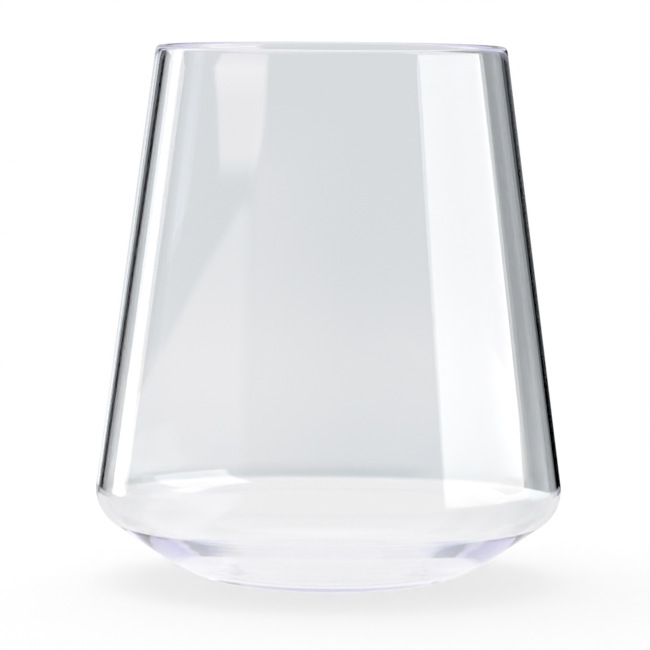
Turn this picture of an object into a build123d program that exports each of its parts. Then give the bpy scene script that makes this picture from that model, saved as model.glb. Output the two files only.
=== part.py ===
from build123d import *
import os
from math import atan2, cos, degrees, radians, sin, tan

# Stemless drinking glass: a thin tapered bowl fused to a hollow, cone-shaped base.
# Millimetres, +Z up. The origin is on the table, under the centre of the foot.

# Outside form
height = 109.3  # table to the top of the lip
mouth_diameter = 71.2  # outside of the wall, carried up to the top
shoulder_diameter = 96.2  # where the wall and the base's slope would meet
shoulder_height = 15.1  # that corner's height above the table
shoulder_round = 8.0  # radius that rounds the corner
foot_diameter = 52.6  # where the base's slope would meet the table
foot_round = 30.0  # radius that eases the slope onto the table

# Glass thickness: blown thin where the glass is widest, heavier at the lip and the foot
lip_wall = 2.2  # at the lip, square to the wall
shoulder_wall = 1.3  # at the shoulder, square to the wall
slope_wall = 1.1  # at the shoulder, square to the base's slope
foot_wall = 2.0  # under the inside floor and at the foot of the slope
shoulder_inner_round = 7.2  # radius inside the shoulder
foot_inner_round = 20.5  # radius where the inside slope eases onto the floor

# Fused seam between bowl and base
seam_land = 0.4  # sloping strip left on the bowl below its rounded shoulder

# Slopes of the two outside faces
mouth_radius = mouth_diameter / 2
shoulder_radius = shoulder_diameter / 2
foot_radius = foot_diameter / 2
wall_lean = atan2(shoulder_radius - mouth_radius, height - shoulder_height)
base_slope = atan2(shoulder_height, shoulder_radius - foot_radius)

# The seam lies just below the end of the shoulder's rounding
shoulder_turn = radians(90) + wall_lean - base_slope
shoulder_reach = shoulder_round * tan(shoulder_turn / 2) + seam_land
seam_height = shoulder_height - shoulder_reach * sin(base_slope)
seam_radius = shoulder_radius - shoulder_reach * cos(base_slope)

# The lip is a half circle across the wall's thickness
lip_radius = lip_wall / 2
lip_height = height - lip_radius
lip_centre = shoulder_radius - (lip_height - shoulder_height) * tan(wall_lean) - lip_radius / cos(wall_lean)
lip_across = lip_radius * cos(wall_lean)
lip_tilt = lip_radius * sin(wall_lean)

# Inside corner at the shoulder: in from the wall along the slope, and up from the slope along the wall
along_slope = shoulder_wall / sin(shoulder_turn)
along_wall = slope_wall / sin(shoulder_turn)
inner_radius = shoulder_radius - along_slope * cos(base_slope) - along_wall * sin(wall_lean)
inner_height = shoulder_height - along_slope * sin(base_slope) + along_wall * cos(wall_lean)

# Inside corner at the foot: one foot thickness in from the table and from the slope
floor_radius = foot_radius - foot_wall * tan(base_slope / 2)

# The inside slope runs between those corners and crosses the seam
inner_share = (seam_height - foot_wall) / (inner_height - foot_wall)
inner_seam_radius = floor_radius + inner_share * (inner_radius - floor_radius)

# Bowl: lip, tapered wall and rounded shoulder
with BuildPart() as bowl:
    with BuildSketch(Plane.XZ):
        with BuildLine():
            outside = FilletPolyline(
                (seam_radius, seam_height),
                (shoulder_radius, shoulder_height),
                (lip_centre + lip_across, lip_height + lip_tilt),
                radius=shoulder_round,
            )
            lip = TangentArc(
                outside @ 1,
                (lip_centre - lip_across, lip_height - lip_tilt),
                tangent=outside % 1,
            )
            inside = FilletPolyline(
                lip @ 1,
                (inner_radius, inner_height),
                (inner_seam_radius, seam_height),
                radius=shoulder_inner_round,
            )
            Line(inside @ 1, outside @ 0)
        make_face()
    revolve(axis=Axis.Z)

# Base: sloping wall from the seam down to the flat foot
with BuildPart() as base:
    with BuildSketch(Plane.XZ):
        with BuildLine():
            underside = FilletPolyline(
                (0, 0),
                (foot_radius, 0),
                (seam_radius, seam_height),
                radius=foot_round,
            )
            floor = FilletPolyline(
                (inner_seam_radius, seam_height),
                (floor_radius, foot_wall),
                (0, foot_wall),
                radius=foot_inner_round,
            )
            Line(underside @ 1, floor @ 0)
            Line(floor @ 1, underside @ 0)
        make_face()
    revolve(axis=Axis.Z)

bowl.part.label = "bowl"
base.part.label = "base"

print("wall leans", round(degrees(wall_lean), 2), "degrees, base slopes", round(degrees(base_slope), 2))
print("seam at height", round(seam_height, 2), "radius", round(seam_radius, 2))
print("inside corner at height", round(inner_height, 2), "radius", round(inner_radius, 2))
print("flat foot radius", round(foot_radius - foot_round * tan(base_slope / 2), 2))

os.makedirs("parts", exist_ok=True)
export_step(bowl.part, "parts/bowl.step")
export_step(base.part, "parts/base.step")
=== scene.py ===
import bpy
import numpy as np
from mathutils import Matrix, Vector


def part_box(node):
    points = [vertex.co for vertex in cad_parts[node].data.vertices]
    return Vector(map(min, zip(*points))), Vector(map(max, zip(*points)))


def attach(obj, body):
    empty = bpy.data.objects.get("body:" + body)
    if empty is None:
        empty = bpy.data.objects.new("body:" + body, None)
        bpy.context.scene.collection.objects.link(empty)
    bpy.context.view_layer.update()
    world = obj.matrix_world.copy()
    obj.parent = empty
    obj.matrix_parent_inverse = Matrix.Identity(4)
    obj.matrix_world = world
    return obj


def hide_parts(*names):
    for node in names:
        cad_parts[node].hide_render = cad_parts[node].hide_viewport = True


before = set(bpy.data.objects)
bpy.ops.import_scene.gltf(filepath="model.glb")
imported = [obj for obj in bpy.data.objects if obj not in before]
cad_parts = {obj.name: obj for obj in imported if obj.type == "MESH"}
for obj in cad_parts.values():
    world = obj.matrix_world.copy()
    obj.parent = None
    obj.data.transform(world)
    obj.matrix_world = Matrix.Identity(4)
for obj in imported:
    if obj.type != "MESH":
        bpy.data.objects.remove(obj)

scene = bpy.context.scene
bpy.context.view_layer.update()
print("frame loaded:", sorted(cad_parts))


# Outline of the glass, in metres
glassShape = {
    "height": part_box("bowl")[1][2],  # table to the top of the lip
    "mouthRadius": 0.0356,           # outside of the wall, carried up to the top
    "shoulderRadius": 0.0481,        # where the wall and the base's slope would meet
    "shoulderHeight": 0.0151,        # that corner's height above the table
    "shoulderRound": 0.0080,
    "footRadius": 0.0263,            # where the base's slope would meet the table
    "footRound": 0.0300,
    "lipWall": 0.0022,               # thickness at the lip
    "shoulderWall": 0.0013,          # at the shoulder, square to the wall
    "slopeWall": 0.0011,             # at the shoulder, square to the base's slope
    "footWall": 0.0020,              # under the inside floor
    "shoulderInnerRound": 0.0072,
    "footInnerRound": 0.0205,
    "around": 360,                   # steps round the glass
    "footSteps": 24,                 # points on each rounding at the foot
    "shoulderSteps": 28,             # on each rounding at the shoulder
    "lipSteps": 16,                  # on the lip
    "floorSteps": 6,                 # between those, across the foot and across the floor
    "slopeSteps": 8,                 # along the base's slope, outside and inside
    "wallSteps": 30,                 # along the wall, outside and inside
}


def arcPoints(centre, radius, start, end, count):
    # circle of the given radius, from the start angle to the end angle, as (r, z) rows
    angle = np.linspace(start, end, count)
    return np.asarray(centre) + radius * np.stack([np.cos(angle), np.sin(angle)], axis=1)


def linePoints(start, end, count):
    # evenly spaced rows between two points, without the points themselves
    share = np.linspace(0, 1, count + 2)[1:-1, None]
    return start * (1 - share) + end * share


def roundedCorner(before, corner, after, radius, count):
    # arc that touches both sides of a corner: its centre is on the bisector,
    # radius / sin(half the angle) away
    inward = (before - corner) / np.linalg.norm(before - corner)
    onward = (after - corner) / np.linalg.norm(after - corner)
    half = np.arccos(inward @ onward) / 2
    bisector = (inward + onward) / np.linalg.norm(inward + onward)
    centre = corner + bisector * radius / np.sin(half)
    first = corner + inward * radius / np.tan(half) - centre
    last = corner + onward * radius / np.tan(half) - centre
    start = np.arctan2(first[1], first[0])
    turn = (np.arctan2(last[1], last[0]) - start + np.pi) % (2 * np.pi) - np.pi
    return arcPoints(centre, radius, start, start + turn, count)


def glassProfile(shape):
    # half section from the middle of the underside, out, up, over the lip
    # and down to the middle of the inside floor
    wallHeight = shape["height"] - shape["shoulderHeight"]
    lean = np.arctan2(shape["shoulderRadius"] - shape["mouthRadius"], wallHeight)
    slope = np.arctan2(shape["shoulderHeight"], shape["shoulderRadius"] - shape["footRadius"])
    turn = np.pi / 2 + lean - slope
    footMiddle = np.array([0.0, 0.0])
    footCorner = np.array([shape["footRadius"], 0.0])
    shoulderCorner = np.array([shape["shoulderRadius"], shape["shoulderHeight"]])

    # the lip is a half circle across the wall's thickness
    lipRadius = shape["lipWall"] / 2
    lipHeight = shape["height"] - lipRadius
    lipDrawIn = (lipHeight - shape["shoulderHeight"]) * np.tan(lean) + lipRadius / np.cos(lean)
    lipCentre = (shape["shoulderRadius"] - lipDrawIn, lipHeight)
    lip = arcPoints(lipCentre, lipRadius, lean, lean + np.pi, shape["lipSteps"])

    # inside corner at the shoulder: in from the wall along the slope, and up from the slope along the wall
    alongSlope = shape["shoulderWall"] / np.sin(turn) * np.array([np.cos(slope), np.sin(slope)])
    alongWall = shape["slopeWall"] / np.sin(turn) * np.array([-np.sin(lean), np.cos(lean)])
    innerCorner = shoulderCorner - alongSlope + alongWall
    floorRadius = shape["footRadius"] - shape["footWall"] * np.tan(slope / 2)
    floorCorner = np.array([floorRadius, shape["footWall"]])
    floorMiddle = np.array([0.0, shape["footWall"]])

    footRound, footInnerRound = shape["footRound"], shape["footInnerRound"]
    shoulderRound, shoulderInnerRound = shape["shoulderRound"], shape["shoulderInnerRound"]
    footSteps, shoulderSteps = shape["footSteps"], shape["shoulderSteps"]
    foot = roundedCorner(footMiddle, footCorner, shoulderCorner, footRound, footSteps)
    shoulder = roundedCorner(footCorner, shoulderCorner, lip[0], shoulderRound, shoulderSteps)
    innerShoulder = roundedCorner(lip[-1], innerCorner, floorCorner, shoulderInnerRound, shoulderSteps)
    innerFoot = roundedCorner(innerCorner, floorCorner, floorMiddle, footInnerRound, footSteps)
    return np.concatenate([
        footMiddle[None], linePoints(footMiddle, foot[0], shape["floorSteps"]), foot,
        linePoints(foot[-1], shoulder[0], shape["slopeSteps"]), shoulder,
        linePoints(shoulder[-1], lip[0], shape["wallSteps"]), lip,
        linePoints(lip[-1], innerShoulder[0], shape["wallSteps"]), innerShoulder,
        linePoints(innerShoulder[-1], innerFoot[0], shape["slopeSteps"]), innerFoot,
        linePoints(innerFoot[-1], floorMiddle, shape["floorSteps"]), floorMiddle[None],
    ])


def turnedMesh(name, profile, around):
    # every profile row turned about Z: (r cos a, r sin a, z); its two ends on the axis are single points
    angle = np.linspace(0, 2 * np.pi, around, endpoint=False)
    ring = profile[1:-1]
    grid = np.stack([
        ring[:, :1] * np.cos(angle),
        ring[:, :1] * np.sin(angle),
        np.repeat(ring[:, 1:], around, axis=1),
    ], axis=2).reshape(-1, 3)
    low = np.array([[0, 0, profile[0, 1]]])
    high = np.array([[0, 0, profile[-1, 1]]])
    points = np.concatenate([grid, low, high])

    rows = np.arange(len(ring) - 1)[:, None] * around
    step = np.arange(around)
    after = (step + 1) % around
    quads = np.stack([rows + step, rows + after, rows + around + after, rows + around + step], axis=2)
    lowPole, highPole = len(grid), len(grid) + 1
    last = (len(ring) - 1) * around
    bottom = np.stack([np.full(around, lowPole), after, step], axis=1)
    top = np.stack([np.full(around, highPole), last + step, last + after], axis=1)

    mesh = bpy.data.meshes.new(name)
    mesh.from_pydata(points.tolist(), [], quads.reshape(-1, 4).tolist() + bottom.tolist() + top.tolist())
    mesh.polygons.foreach_set("use_smooth", np.ones(len(mesh.polygons), dtype=bool))
    mesh.update()
    return mesh


glassMesh = turnedMesh("stemlessGlass", glassProfile(glassShape), glassShape["around"])
glass = bpy.data.objects.new("stemlessGlass", glassMesh)
scene.collection.objects.link(glass)
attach(glass, "root")
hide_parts("bowl", "base")
print("glass:", len(glassMesh.vertices), "points")


def addNode(tree, kind, inputs, **settings):
    # a node with its settings; an input given as another node's output is linked, a plain value is set
    node = tree.nodes.new(kind)
    for name, value in settings.items():
        setattr(node, name, value)
    for name, value in inputs.items():
        if isinstance(value, bpy.types.NodeSocket):
            tree.links.new(value, node.inputs[name])
        else:
            node.inputs[name].default_value = value
    return node


def mapRange(tree, value, start, end):
    # carries a value from one range to another, and stops at its ends
    ends = {"From Min": start[0], "From Max": start[1], "To Min": end[0], "To Max": end[1]}
    return addNode(tree, "ShaderNodeMapRange", {"Value": value, **ends}).outputs["Result"]


# Clear glass with a faint lavender cast in its thickness, and slight waves on its surface
glassFinish = {
    "ior": 1.5,
    "roughness": 0.0,
    "tint": (0.48, 0.39, 0.91, 1),         # what the thickness of the glass lets through
    "density": 8.5,
    "streaks": ((110, 110, 7), 0.000008),  # drawn down the wall: turns per metre along X, Y and Z, height
    "ripples": ((25, 25, 520), 0.000012),  # level waves in the base, in the same way
    "rippleTop": (0.010, 0.018),           # heights between which those die out
    "waveDetail": 1.5,                     # how much finer unevenness the waves carry
}


def waves(tree, place, wave, detail, more):
    # bump whose height is noise that turns at its own rate along each axis
    turns, height = wave
    stretch = addNode(tree, "ShaderNodeMapping", {"Vector": place, "Scale": turns}).outputs["Vector"]
    noise = addNode(tree, "ShaderNodeTexNoise", {"Vector": stretch, "Scale": 1, "Detail": detail})
    bump = addNode(tree, "ShaderNodeBump", {"Height": noise.outputs["Fac"], "Distance": height, **more})
    return bump.outputs["Normal"]


def wavyNormal(tree, finish):
    # streaks all over, and on top of them ripples that fade out above the base
    place = tree.nodes.new("ShaderNodeTexCoord").outputs["Object"]
    apart = addNode(tree, "ShaderNodeSeparateXYZ", {"Vector": place})
    low = mapRange(tree, apart.outputs["Z"], finish["rippleTop"], (1, 0))
    streaks = waves(tree, place, finish["streaks"], finish["waveDetail"], {})
    return waves(tree, place, finish["ripples"], finish["waveDetail"], {"Strength": low, "Normal": streaks})


def clearGlass(finish):
    material = bpy.data.materials.new("clearGlass")
    material.use_nodes = True
    tree = material.node_tree
    shader = tree.nodes["Principled BSDF"]
    shader.inputs["Base Color"].default_value = (1, 1, 1, 1)
    shader.inputs["Roughness"].default_value = finish["roughness"]
    shader.inputs["IOR"].default_value = finish["ior"]
    shader.inputs["Transmission Weight"].default_value = 1
    tree.links.new(wavyNormal(tree, finish), shader.inputs["Normal"])
    lavender = {"Color": finish["tint"], "Density": finish["density"]}
    cast = addNode(tree, "ShaderNodeVolumeAbsorption", lavender)
    tree.links.new(cast.outputs["Volume"], tree.nodes["Material Output"].inputs["Volume"])
    return material


glassMesh.materials.append(clearGlass(glassFinish))
print("glass finished")


def bareMaterial(name):
    # a material with nothing but its output
    material = bpy.data.materials.new(name)
    material.use_nodes = True
    nodes = material.node_tree.nodes
    nodes.remove(nodes["Principled BSDF"])
    return material


def eyeRays(tree):
    # two switches: 1 where the camera looks straight, and 1 where it looks through or off the glass
    seen = tree.nodes.new("ShaderNodeLightPath")
    rays = {0: seen.outputs["Is Glossy Ray"], 1: seen.outputs["Is Transmission Ray"]}
    through = addNode(tree, "ShaderNodeMath", rays, operation="MAXIMUM")
    return seen.outputs["Is Camera Ray"], through.outputs[0]


# Floor: pale, white where the light reaches it, with the soft shadow of the glass
floorLook = {
    "half": 1.2,
    "drop": 0.0001,                  # just under the foot, so that the two faces do not touch
    "colour": (0.90, 0.90, 0.90, 1),
    "white": 0.67,                   # share of plain white in it; the rest takes the shadow
    "allWhite": (0.15, 0.45),        # distances from the middle between which it turns all white
    "underGlass": 0.96,              # painted light: how light it is through the glass, below its foot, with no shadow of the glass
    "roundGlass": 0.83,              # and farther out
    "fade": (0.030, 0.070),          # distances from the middle between which it goes from one to the other
    "tint": (0.62, 0.67, 0.93, 1),   # painted blue shade on the floor at both sides of the foot, which the base shows
    "paintedShadePlace": (0.0275, 0.0095),   # middle of that painted shade: aside, behind
    "paintedShadeReach": (0.0010, 0.0085),   # distances from there between which it fades out
}


def sideShade(tree, place, through, look):
    # colour of the painted blue shade, seen only through the glass: white far from its middle, blue near
    # it; (|x|, y) puts one on each side
    apart = addNode(tree, "ShaderNodeSeparateXYZ", {"Vector": place})
    aside = addNode(tree, "ShaderNodeMath", {0: apart.outputs["X"]}, operation="ABSOLUTE")
    flat = addNode(tree, "ShaderNodeCombineXYZ", {"X": aside.outputs[0], "Y": apart.outputs["Y"]})
    ends = {0: flat.outputs["Vector"], 1: (*look["paintedShadePlace"], 0)}
    gap = addNode(tree, "ShaderNodeVectorMath", ends, operation="DISTANCE")
    near = mapRange(tree, gap.outputs["Value"], look["paintedShadeReach"], (through, 0))
    shade = addNode(tree, "ShaderNodeValToRGB", {"Fac": near})
    shade.color_ramp.elements[0].color = (1, 1, 1, 1)
    shade.color_ramp.elements[1].color = look["tint"]
    return shade.outputs["Color"]


def paleFloor(look):
    # matt to the lights; to the camera plain white with a share of matt, which takes the shadow;
    # through or off the glass, only painted light: its own level, lighter below the foot, and the painted
    # blue shade
    material = bareMaterial("paleFloor")
    tree = material.node_tree
    straight, through = eyeRays(tree)
    place = tree.nodes.new("ShaderNodeTexCoord").outputs["Object"]
    distance = addNode(tree, "ShaderNodeVectorMath", {0: place}, operation="LENGTH").outputs["Value"]
    # painted light: through the glass the floor is lighter below the foot than farther out
    seenThrough = mapRange(tree, distance, look["fade"], (look["underGlass"], look["roundGlass"]))
    level = mapRange(tree, through, (0, 1), (1, seenThrough))
    # painted blue shade on the floor, seen only through the glass
    shade = sideShade(tree, place, through, look)
    white = addNode(tree, "ShaderNodeEmission", {"Color": shade, "Strength": level})
    matt = addNode(tree, "ShaderNodeBsdfDiffuse", {"Color": look["colour"]})
    even = mapRange(tree, distance, look["allWhite"], (look["white"], 1))
    share = addNode(tree, "ShaderNodeMath", {0: straight, 1: even, 2: through}, operation="MULTIPLY_ADD")
    parts = {"Fac": share.outputs[0], 1: matt.outputs["BSDF"], 2: white.outputs["Emission"]}
    mix = addNode(tree, "ShaderNodeMixShader", parts)
    tree.links.new(mix.outputs["Shader"], tree.nodes["Material Output"].inputs["Surface"])
    return material


def layFloor(look):
    # one square face, just below the table's height
    half, low = look["half"], -look["drop"]
    corners = [(-half, -half, low), (half, -half, low), (half, half, low), (-half, half, low)]
    mesh = bpy.data.meshes.new("floor")
    mesh.from_pydata(corners, [], [(0, 1, 2, 3)])
    mesh.materials.append(paleFloor(look))
    floor = bpy.data.objects.new("floor", mesh)
    scene.collection.objects.link(floor)


layFloor(floorLook)
print("floor made")


# Studio cards round the glass, each a part of an upright cylinder. "from" and "to" are azimuths in degrees
# from straight behind the glass, plus to the right, and a pair of them is for the card's foot and its top.
# A pair for "foot" or "light" is for the card's two ends, "from" first.
cardRing = {
    "radius": 0.160,
    "foot": 0.0006,
    "top": 0.124,
    "steps": 24,                     # points across
    "rows": 2,                       # points up
    "crowd": 1,                      # above 1, the rows crowd towards the foot
    "colour": (0.957, 1.0, 1.015),
    "footLight": (1.0, 0.0),         # change of the light towards the foot: reach above it, by what share
    "onlyMirrored": False,           # shows only in what the glass mirrors inside its wall
}
midRing = {"radius": 0.300, "foot": 0.001, "top": 0.290}
sideRing = {"radius": 0.400, "foot": 0.004, "top": 0.390}
farRing = {"radius": 0.600, "top": 0.840, "rows": 160, "footLight": (0.030, -0.5)}
warmWhite = {"colour": (1.03, 1.0, 0.98)}
coolGrey = {"colour": (0.93, 1.0, 1.035)}
studioCards = {
    "leftWall": {**sideRing, "from": -137.5, "to": -66, "light": (0.90, 0.92)},
    "leftStrip": {
        **sideRing, **warmWhite, "radius": 0.398,    # a little nearer than the wall
        "from": (-64.2, -78.4), "to": -45, "light": 2.7,
    },
    "leftGrey": {"from": -62, "to": -53.5, "light": 0.42, "onlyMirrored": True},
    "leftFlag": {"from": -53.5, "to": -36.2, "light": 0.0, "onlyMirrored": True},
    "leftPale": {"from": -36.2, "to": -32, "light": 1.10},
    "rightEdge": {"from": 20.2, "to": 22, "light": (0.25, 0.10)},
    "rightFlag": {"from": 22, "to": 41.5, "light": 0.0},
    "rightGrey": {**coolGrey, "from": 41.5, "to": 50, "light": 0.40},
    "rightDim": {**midRing, **coolGrey, "from": 42, "to": 46.5, "light": 0.42},
    "rightPale": {
        **midRing, **coolGrey, "rows": 24, "footLight": (0.060, 0.65),
        "from": 46.5, "to": 69, "light": (0.72, 1.15),
    },
    "softboxBack": {
        **farRing, **warmWhite, "foot": (0.010, 0.044),
        "from": 55, "to": 93, "light": (3.2, 3.0),
    },
    "softboxFront": {
        **farRing, **warmWhite, "foot": (0.044, 0.066),
        "from": 93, "to": 122.4, "light": (3.0, 3.9),
    },
}


def boardGlow(name, onlyMirrored):
    # gives off the light kept in the mesh; a board that is only mirrored is plain white
    # where nothing but clear glass is in front of it
    material = bareMaterial(name)
    tree = material.node_tree
    kept = addNode(tree, "ShaderNodeAttribute", {}, attribute_name="light")
    glow = addNode(tree, "ShaderNodeEmission", {"Color": kept.outputs["Color"]}).outputs["Emission"]
    if onlyMirrored:
        mirrored = tree.nodes.new("ShaderNodeLightPath").outputs["Glossy Depth"]
        plain = tree.nodes.new("ShaderNodeEmission").outputs["Emission"]
        glow = addNode(tree, "ShaderNodeMixShader", {"Fac": mirrored, 1: plain, 2: glow}).outputs["Shader"]
    tree.links.new(glow, tree.nodes["Material Output"].inputs["Surface"])
    return material


def edgeValue(value, share):
    # one number all along an edge, or a pair with one for each of its ends
    return np.interp(share, (0, 1), np.broadcast_to(value, 2))


def cylinderBoard(name, place, light):
    # part of an upright cylinder: (radius sin a, radius cos a, height), azimuth a across and height up;
    # light gives the colour at an azimuth, a height and a share of the way across
    across, up, radius = place["steps"], place["rows"], place["radius"]
    share, rise = np.meshgrid(np.linspace(0, 1, across), np.linspace(0, 1, up) ** place["crowd"])
    foot = edgeValue(place["foot"], share)
    height = foot + rise * (place["top"] - foot)
    first = edgeValue(place["from"], rise)
    last = edgeValue(place["to"], rise)
    azimuth = first + share * (last - first)
    angle = np.radians(azimuth)
    points = np.stack([np.sin(angle) * radius, np.cos(angle) * radius, height], axis=2)
    corner = (np.arange(up - 1)[:, None] * across + np.arange(across - 1)).reshape(-1)
    faces = np.stack([corner, corner + 1, corner + across + 1, corner + across], axis=1)
    mesh = bpy.data.meshes.new(name)
    mesh.from_pydata(points.reshape(-1, 3).tolist(), [], faces.tolist())

    # its light is kept in the mesh, as a colour at every point
    colour = light(azimuth, height, share).reshape(-1, 3)
    colour = np.concatenate([colour, np.ones((len(colour), 1))], axis=1)
    mesh.attributes.new("light", "FLOAT_COLOR", "POINT").data.foreach_set("color", colour.reshape(-1))
    mesh.materials.append(boardGlow(name, place["onlyMirrored"]))

    # only the glass shows it
    board = bpy.data.objects.new(name, mesh)
    scene.collection.objects.link(board)
    board.visible_camera = False
    board.visible_diffuse = False
    board.visible_shadow = False


def endToEnd(card):
    # light that runs evenly from one end of the card to the other, and grows or fades towards its foot
    reach, more = card["footLight"]

    def light(azimuth, height, share):
        above = height - edgeValue(card["foot"], share)
        level = edgeValue(card["light"], share) * (1 + more * np.clip(1 - above / reach, 0, 1))
        return level[..., None] * np.array(card["colour"])
    return light


for name, card in studioCards.items():
    card = {**cardRing, **card}
    cylinderBoard(name, card, endToEnd(card))
print("studio cards:", len(studioCards))


# Wall behind the glass: an even grey with painted light on it, a window's light high on the left and a
# lighter foot below it, and a painted shade just above the floor
backWall = {
    **cardRing,
    "foot": 0.0002,
    "top": 0.155,
    "from": -32,
    "to": 20.2,
    "steps": 157,
    "rows": 110,
    "crowd": 2,
    "level": 0.69,
    "glow": (1.25, 1.0, 0.97),             # colour of the painted light added to that level, and of the painted shade taken from it
    "leftEnd": (-32, -20, 0.22),           # painted light, lighter towards the left: from, to, by how much
    "window": ((0.094, 0.104), (0.125, 0.190)),                      # heights, what the window's painted light adds
    "windowFoot": (0.078, 0.006),          # its lower edge and how soft that is
    "windowLeft": ((0.078, 0.094, 0.106), (-11.3, -12.1, -13.2)),    # heights, azimuths
    "windowRight": ((0.067, 0.077, 0.084, 0.093), (-7.6, -7.4, -6.8, -6.5)),
    "windowSoft": 0.4,                     # how soft both of its sides are, in degrees
    "lower": ((-21, -15), (0.050, 0.085)),                           # azimuths, what the painted lighter foot adds
    "lowerTop": ((-21, -17, -15.1, -13.3, -10.9, -8.6), (0.034, 0.036, 0.043, 0.051, 0.060, 0.069)),
    "lowerRight": -7.8,
    "lowerSoft": (0.005, 1.2),             # how soft its top and its right side are
    "haze": (-7.6, 2.0, 0.085, 0.038),     # faint painted light right of that: from, to, its top, by how much
    "hazeSoft": (0.020, 1.2),              # how soft its top and its left side are
    "swell": (0.030, 0.018, 0.045),        # soft band of painted light across: height, reach, by how much
    "paintedFootShade": (0.0025, 0.0022, 0.10),    # painted shade, a darker line just above the floor: height, reach, by how much
    "paintedFootShadeEnd": ((7, 10), (1.0, 0.2)),  # azimuths, how much of it is left
    "floorGlow": (0.0017, 0.0016, 0.20),   # painted light, lighter at the floor: below which height, reach, by how much
}


def ramp(value, soft):
    # from 0 to 1 across an edge that is this soft
    return np.clip(value / soft + 0.5, 0, 1)


def band(height, middle, reach):
    # 1 at the middle, and fading on both sides of it as a bell does
    return np.exp(-((height - middle) / reach) ** 2)


def backLight(azimuth, height, share):
    # an even level, and soft-edged patches of painted light added to it, each a product of ramps across its
    # edges, and a painted shade taken from it
    wall = backWall
    begin, end, more = wall["leftEnd"]
    level = wall["level"] + more * np.clip((end - azimuth) / (end - begin), 0, 1)

    edge, soft = wall["windowFoot"]
    window = np.interp(height, *wall["window"]) * ramp(height - edge, soft)
    window = window * ramp(azimuth - np.interp(height, *wall["windowLeft"]), wall["windowSoft"])
    window = window * ramp(np.interp(height, *wall["windowRight"]) - azimuth, wall["windowSoft"])

    topSoft, sideSoft = wall["lowerSoft"]
    lower = np.interp(azimuth, *wall["lower"]) * ramp(wall["lowerRight"] - azimuth, sideSoft)
    lower = lower * ramp(np.interp(azimuth, *wall["lowerTop"]) - height, topSoft)

    begin, end, edge, more = wall["haze"]
    topSoft, sideSoft = wall["hazeSoft"]
    haze = more * ramp(azimuth - begin, sideSoft) * np.clip((end - azimuth) / (end - begin), 0, 1)
    haze = haze * ramp(edge - height, topSoft)

    middle, reach, more = wall["swell"]
    swell = more * band(height, middle, reach)
    # painted shade: a darker line just above the floor
    middle, reach, less = wall["paintedFootShade"]
    paintedFootShade = less * band(height, middle, reach) * np.interp(azimuth, *wall["paintedFootShadeEnd"])
    edge, reach, more = wall["floorGlow"]
    floorGlow = more * np.clip((edge - height) / reach, 0, 1)

    added = window + lower + haze + swell - paintedFootShade + floorGlow
    return level[..., None] * np.array(wall["colour"]) + added[..., None] * np.array(wall["glow"])


cylinderBoard("backWall", backWall, backLight)
print("back wall made")


# World: white where the camera and the glass look, a plain fill elsewhere
worldLight = {"white": 1.0, "fill": 0.85}


def whiteWorld(light):
    world = bpy.data.worlds.new("whiteStudio")
    world.use_nodes = True
    tree = world.node_tree
    straight, through = eyeRays(tree)
    eye = addNode(tree, "ShaderNodeMath", {0: straight, 1: through}, operation="ADD")
    level = mapRange(tree, eye.outputs[0], (0, 1), (light["fill"], light["white"]))
    background = tree.nodes["Background"]
    background.inputs["Color"].default_value = (1, 1, 1, 1)
    tree.links.new(level, background.inputs["Strength"])
    scene.world = world


whiteWorld(worldLight)


# One large lamp, above and a little behind; the glass does not show it
topLamp = {"size": 0.8, "place": (-0.12, 0.20, 0.75), "power": 2.55}


def hangLamp(look):
    data = bpy.data.lights.new("topLamp", "AREA")
    data.shape = "DISK"
    data.size = look["size"]
    data.energy = look["power"]
    lamp = bpy.data.objects.new("topLamp", data)
    lamp.location = look["place"]
    lamp.rotation_euler = Vector(look["place"]).to_track_quat("Z", "Y").to_euler()   # turned to the glass
    lamp.visible_glossy = False
    lamp.visible_transmission = False
    scene.collection.objects.link(lamp)


hangLamp(topLamp)
print("lights made")


# Camera at the photograph's angle
cameraPlace = {
    "distance": 0.900,
    "height": 0.1309,
    "aimHeight": 0.05237,
    "aside": -0.00094,               # the glass stands a little right of the middle
    "focalPixels": 4426,
    "framePixels": 650,
    "sensorWidth": 36,               # in millimetres
    "farthest": 20,                  # what lies beyond this is left out
    "roll": 0.00714,                 # turn about the line of sight, in radians
}


def placeCamera(place):
    # its back points from the aim to the eye, and its right is level but for the roll
    data = bpy.data.cameras.new("camera")
    data.sensor_width = place["sensorWidth"]
    data.lens = place["focalPixels"] / place["framePixels"] * data.sensor_width
    data.clip_end = place["farthest"]
    eye = Vector((place["aside"], -place["distance"], place["height"]))
    aim = Vector((place["aside"], 0, place["aimHeight"]))
    back = (eye - aim).normalized()
    across = Vector((1, 0, 0))
    upright = back.cross(across)
    right = (across + upright * place["roll"]).normalized()
    up = back.cross(right)
    camera = bpy.data.objects.new("camera", data)
    camera.matrix_world = Matrix((
        (right.x, up.x, back.x, eye.x),
        (right.y, up.y, back.y, eye.y),
        (right.z, up.z, back.z, eye.z),
        (0, 0, 0, 1),
    ))
    scene.collection.objects.link(camera)
    scene.camera = camera


placeCamera(cameraPlace)
print("camera placed")

glassBounces = 48                    # light runs far inside thin glass before it leaves
scene.view_settings.view_transform = "Standard"
scene.cycles.max_bounces = glassBounces
scene.cycles.glossy_bounces = glassBounces
scene.cycles.transmission_bounces = glassBounces
